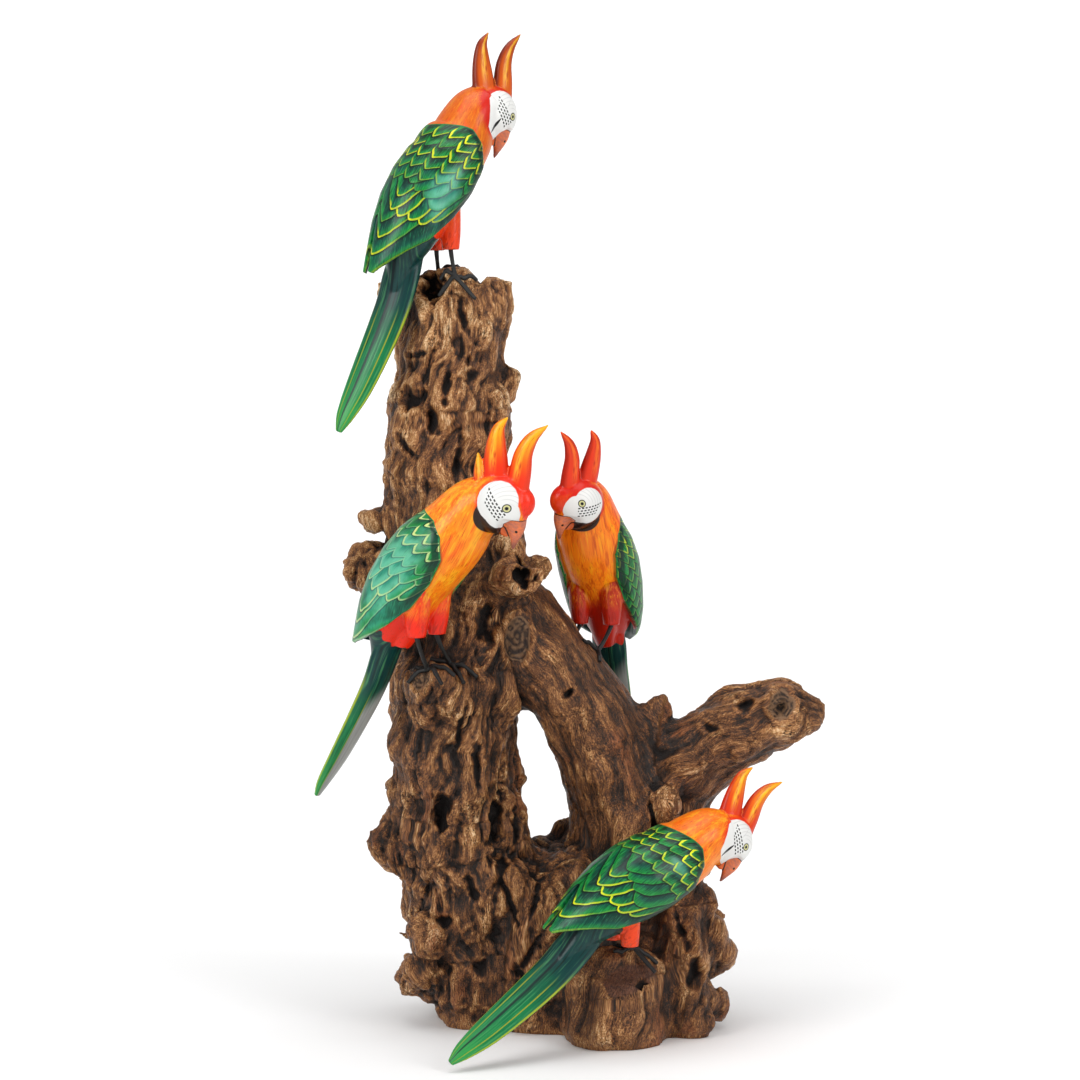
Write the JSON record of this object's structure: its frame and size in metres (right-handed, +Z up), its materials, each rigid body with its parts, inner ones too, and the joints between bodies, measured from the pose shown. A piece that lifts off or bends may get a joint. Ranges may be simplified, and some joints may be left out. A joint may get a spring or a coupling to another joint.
{
  "type": "carved parrot group on a tree root",
  "caption": "Carved and painted parrots with horn-like crests, perched by wire legs on an upright gnarled tree root with an open loop.",
  "frame": {"origin": "on the sawn underside of the root, below the middle of its trunk and loop", "axes": "+Z is up, -Y faces the viewer of the picture, +X is the viewer's right"},
  "size_m": [0.5105, 0.3418, 0.9854],
  "materials": {
    "root_wood": "oiled, satin, dark in the hollows",
    "parrot_wood": "painted in orange, red, green and white under clear varnish",
    "leg_wire": "black, semi-gloss"
  },
  "bodies": {
    "root": {"top_parrot_left_leg": "leg_wire", "top_parrot_right_leg": "leg_wire", "top_parrot": "parrot_wood", "left_parrot_left_leg": "leg_wire", "left_parrot_right_leg": "leg_wire", "left_parrot": "parrot_wood", "right_parrot_left_leg": "leg_wire", "right_parrot_right_leg": "leg_wire", "right_parrot": "parrot_wood", "front_parrot_left_leg": "leg_wire", "front_parrot_right_leg": "leg_wire", "front_parrot": "parrot_wood", "driftwood_root": "root_wood"}
  },
  "joints": []
}
